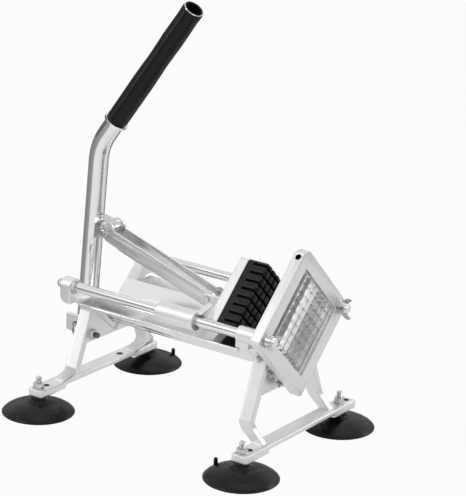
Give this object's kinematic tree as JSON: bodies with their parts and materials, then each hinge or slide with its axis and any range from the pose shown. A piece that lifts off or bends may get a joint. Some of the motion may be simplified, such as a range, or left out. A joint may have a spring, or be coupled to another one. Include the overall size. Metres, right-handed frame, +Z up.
{
  "type": "french fry cutter",
  "caption": "Bench-top french fry cutter: a lever and link push a studded block along two rods and force a potato through a square blade grid; suction-cup feet.",
  "frame": {"origin": "on the bench, midway between the four suction cups", "axes": "+X along the stroke towards the blades, +Y to the far side with the lever on the -X end, +Z up"},
  "size_m": [0.3406, 0.2642, 0.4423],
  "materials": {
    "cup_rubber": "smooth black rubber",
    "zinc_steel": "zinc plated, bright",
    "cast_aluminium": "sand-cast and satin polished",
    "frame_aluminium": "satin polished",
    "trough_sheet": "polished",
    "rod_chrome": "hard chrome, ground",
    "tube_chrome": "bright plated",
    "link_steel": "plated sheet steel",
    "dark_steel": "dark",
    "blade_steel": "stainless, ground",
    "grip_rubber": "satin black",
    "collar_steel": "bright ring",
    "bush_bronze": "turned",
    "block_plastic": "black, semi matte"
  },
  "bodies": {
    "frame": {"suction_cups": "cup_rubber", "cup_studs": "zinc_steel", "cup_washers": "zinc_steel", "cup_nuts": "zinc_steel", "rear_leg_casting": "cast_aluminium", "front_leg_casting": "cast_aluminium", "trough": "trough_sheet", "trough_bolts": "zinc_steel", "trough_nuts": "zinc_steel", "guide_rods": "rod_chrome", "rod_cap_nuts": "zinc_steel", "rod_jam_nuts": "zinc_steel", "lever_brackets": "cast_aluminium", "bracket_bolts": "dark_steel", "bracket_nuts": "zinc_steel", "lever_pin": "zinc_steel", "lever_clip": "dark_steel", "blade_frame": "frame_aluminium", "blades_rising": "blade_steel", "blades_falling": "blade_steel", "frame_washers": "zinc_steel"},
    "lever": {"lever_tube": "tube_chrome", "lever_bush": "zinc_steel", "lever_lug": "zinc_steel", "lever_grip": "grip_rubber", "grip_collar": "collar_steel", "grip_end_ring": "collar_steel", "link_bolt": "zinc_steel", "link_bolt_nut": "zinc_steel", "link_washers": "zinc_steel"},
    "link": {"link_channel": "link_steel"},
    "carriage": {"carriage": "cast_aluminium", "fork_pins": "zinc_steel", "sleeve_bushes": "bush_bronze", "pusher_block": "block_plastic", "block_screws": "zinc_steel"},
    "wing_nut_near": {"wing_nut_near": "zinc_steel"},
    "wing_nut_far": {"wing_nut_far": "zinc_steel"}
  },
  "joints": [
    {"name": "lever_swing", "type": "hinge", "parent": "frame", "child": "lever", "pos_m": [-0.1443, 0, 0.073], "axis": [0, 1, 0], "range_deg": [-45, 21]},
    {"name": "link_swing", "type": "hinge", "parent": "lever", "child": "link", "pos_m": [-0.111, 0, 0.1845], "axis": [0, 1, 0], "range_deg": [-22.71, 48.32]},
    {"name": "carriage_slide", "type": "slide", "parent": "frame", "child": "carriage", "axis": [1, 0, 0], "range_m": [-0.08877, 0.04159]},
    {"name": "wing_nut_near_turn", "type": "hinge", "parent": "frame", "child": "wing_nut_near", "pos_m": [0.14, -0.06552, 0.138], "axis": [1, 0, 0], "continuous": true},
    {"name": "wing_nut_far_turn", "type": "hinge", "parent": "frame", "child": "wing_nut_far", "pos_m": [0.14, 0.06552, 0.138], "axis": [1, 0, 0], "continuous": true}
  ],
  "couplings": [
    {"joint": "link_swing", "follows": "lever_swing", "ratio": -1.0671},
    {"joint": "carriage_slide", "follows": "lever_swing", "m_per_rad": 0.11264}
  ]
}
